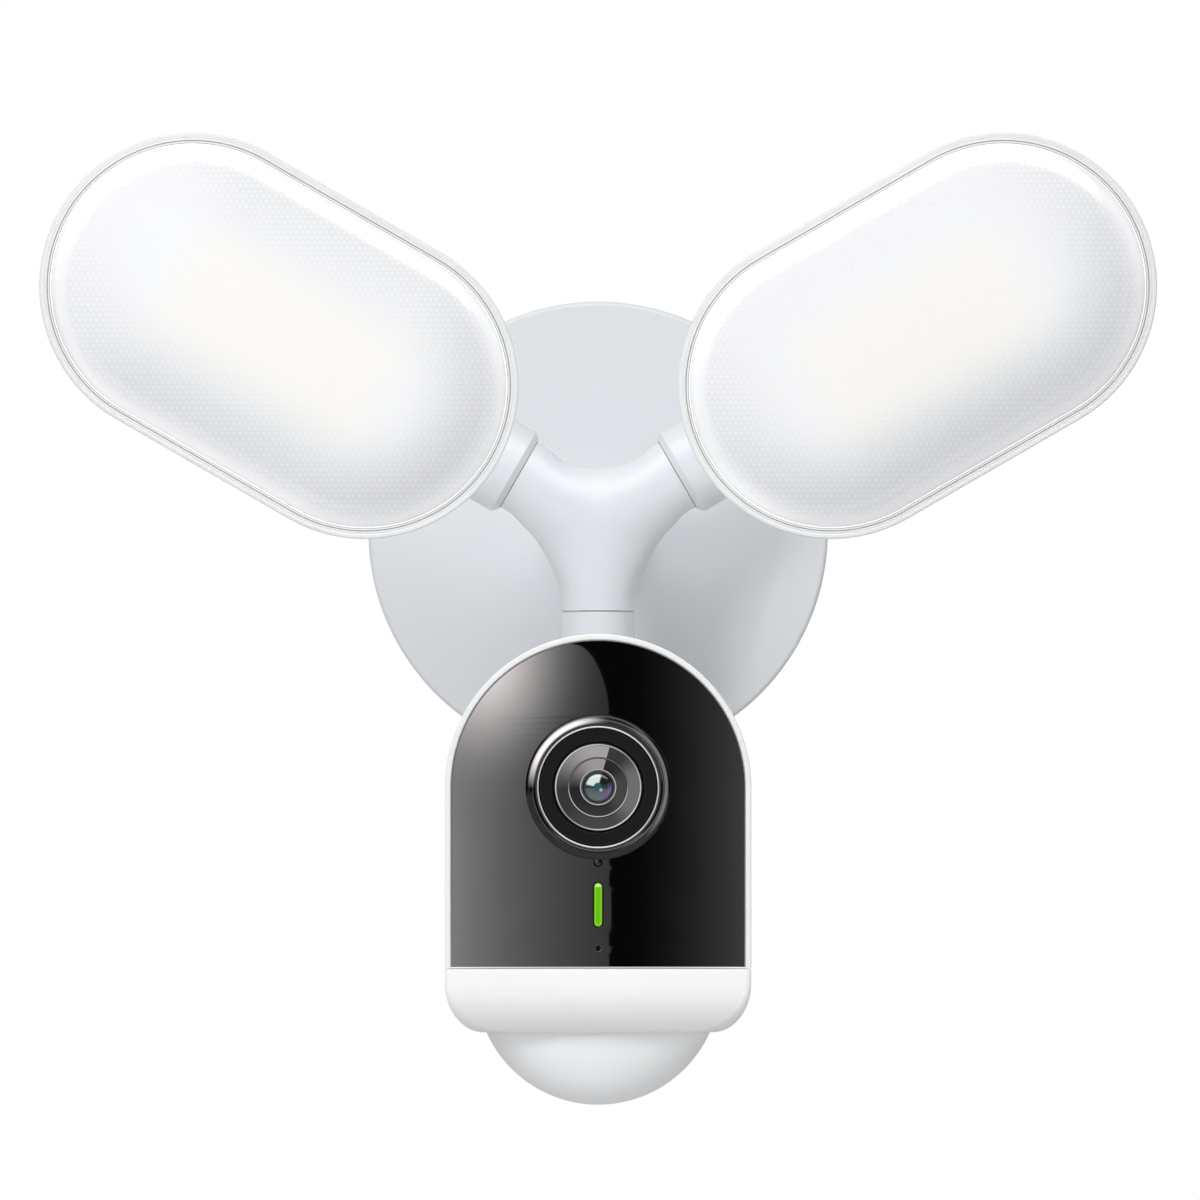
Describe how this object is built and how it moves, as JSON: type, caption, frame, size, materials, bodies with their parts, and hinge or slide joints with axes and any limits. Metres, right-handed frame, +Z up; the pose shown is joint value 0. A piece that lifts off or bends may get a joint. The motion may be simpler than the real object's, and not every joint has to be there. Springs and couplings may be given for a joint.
{
  "type": "floodlight security camera",
  "caption": "Wall floodlight camera: round canopy, three-way arm, swivelling stadium-shaped LED lamps, and a panning, tilting head with an arched glossy face and a domed motion sensor.",
  "frame": {"origin": "centre of the wall bracket's back face, on the wall plane and on the canopy's axis", "axes": "+Y into the wall, so the front faces -Y; +Z up; +X to the viewer's right from the front"},
  "size_m": [0.3002, 0.1629, 0.2602],
  "materials": {
    "canopy_white": "fine satin",
    "arm_white": "satin",
    "lamp_white": "satin",
    "head_white": "satin",
    "tray_white": "satin",
    "microlens_cover": "milky, moulded with small lenses",
    "black_panel": "mirror gloss",
    "black_frame": "matt",
    "lens_black": "satin",
    "bright_ring": "polished",
    "dome_milky": "milky satin",
    "screw_steel": "zinc plated",
    "bracket_steel": "zinc plated",
    "seal_rubber": "matt",
    "bearing_nylon": "natural",
    "board_green": "solder mask",
    "board_white": "white solder mask",
    "cable_black": "matt",
    "lens_glass": "coated",
    "green_light": "clear, lit from behind",
    "reflector_white": "bright white"
  },
  "bodies": {
    "base": {"wall_bracket": "bracket_steel", "base_gasket": "seal_rubber", "base_canopy": "canopy_white", "canopy_screw_left": "screw_steel", "canopy_screw_right": "screw_steel", "led_driver": "black_frame", "terminal_block": "bearing_nylon", "supply_cable": "cable_black", "trunk_nut": "screw_steel", "arm_front_shell": "arm_white", "arm_rear_shell": "arm_white", "arm_screw_left": "screw_steel", "arm_screw_right": "screw_steel", "left_swivel_bush": "bearing_nylon", "right_swivel_bush": "bearing_nylon", "pan_bush": "bearing_nylon"},
    "left_swivel": {"left_swivel_stub": "arm_white", "left_swivel_nut": "screw_steel", "left_lamp_collar": "arm_white"},
    "left_lamp": {"left_tilt_bolt": "screw_steel", "left_lamp_housing": "lamp_white", "left_led_board": "board_white", "left_reflector": "reflector_white", "left_lens_gasket": "seal_rubber", "left_lamp_lens": "microlens_cover", "left_lamp_bezel": "lamp_white"},
    "right_swivel": {"right_swivel_stub": "arm_white", "right_swivel_nut": "screw_steel", "right_lamp_collar": "arm_white"},
    "right_lamp": {"right_tilt_bolt": "screw_steel", "right_lamp_housing": "lamp_white", "right_led_board": "board_white", "right_reflector": "reflector_white", "right_lens_gasket": "seal_rubber", "right_lamp_lens": "microlens_cover", "right_lamp_bezel": "lamp_white"},
    "camera_neck": {"neck_yoke": "arm_white", "pan_nut": "screw_steel", "camera_tilt_bolt": "screw_steel"},
    "camera_head": {"head_shell": "head_white", "front_panel": "black_panel", "panel_gasket": "seal_rubber", "inner_frame": "black_frame", "bottom_cover": "tray_white", "pir_dome": "dome_milky", "pir_sensor": "bright_ring", "lens_trim_ring": "bright_ring", "lens_shroud": "lens_black", "lens_barrel": "lens_black", "lens_glass": "lens_glass", "rear_lens": "lens_glass", "image_sensor_board": "board_green", "main_board": "board_green", "status_light": "green_light", "light_sensor_window": "lens_glass", "speaker": "lens_black", "microphone": "bright_ring"},
    "service_flap": {"service_cover": "head_white"},
    "reset_key": {"reset_button": "lens_black"}
  },
  "joints": [
    {"name": "right_swivel_roll", "type": "hinge", "parent": "base", "child": "right_swivel", "pos_m": [0, -0.078, 0.0029], "axis": [0.866, 0, 0.5], "range_deg": [-25, 80]},
    {"name": "right_lamp_tilt", "type": "hinge", "parent": "right_swivel", "child": "right_lamp", "pos_m": [0.0433, -0.078, 0.0279], "axis": [-0.5, 0, 0.866], "range_deg": [-20, 45]},
    {"name": "left_swivel_roll", "type": "hinge", "parent": "base", "child": "left_swivel", "pos_m": [0, -0.078, 0.0029], "axis": [0.866, 0, -0.5], "range_deg": [-25, 80]},
    {"name": "left_lamp_tilt", "type": "hinge", "parent": "left_swivel", "child": "left_lamp", "pos_m": [-0.0433, -0.078, 0.0279], "axis": [-0.5, 0, -0.866], "range_deg": [-20, 45]},
    {"name": "camera_pan", "type": "hinge", "parent": "base", "child": "camera_neck", "pos_m": [0, -0.078, -0.0217], "axis": [0, 0, 1], "range_deg": [-75, 75]},
    {"name": "camera_tilt", "type": "hinge", "parent": "camera_neck", "child": "camera_head", "pos_m": [0, -0.078, -0.056], "axis": [1, 0, 0], "range_deg": [-12, 45]},
    {"name": "service_cover_swing", "type": "hinge", "parent": "camera_head", "child": "service_flap", "pos_m": [0.041, -0.155, -0.096], "axis": [0, 0, -1], "range_deg": [0, 100]},
    {"name": "reset_button_press", "type": "slide", "parent": "camera_head", "child": "reset_key", "axis": [-1, 0, 0], "range_m": [0, 0.0007]}
  ]
}
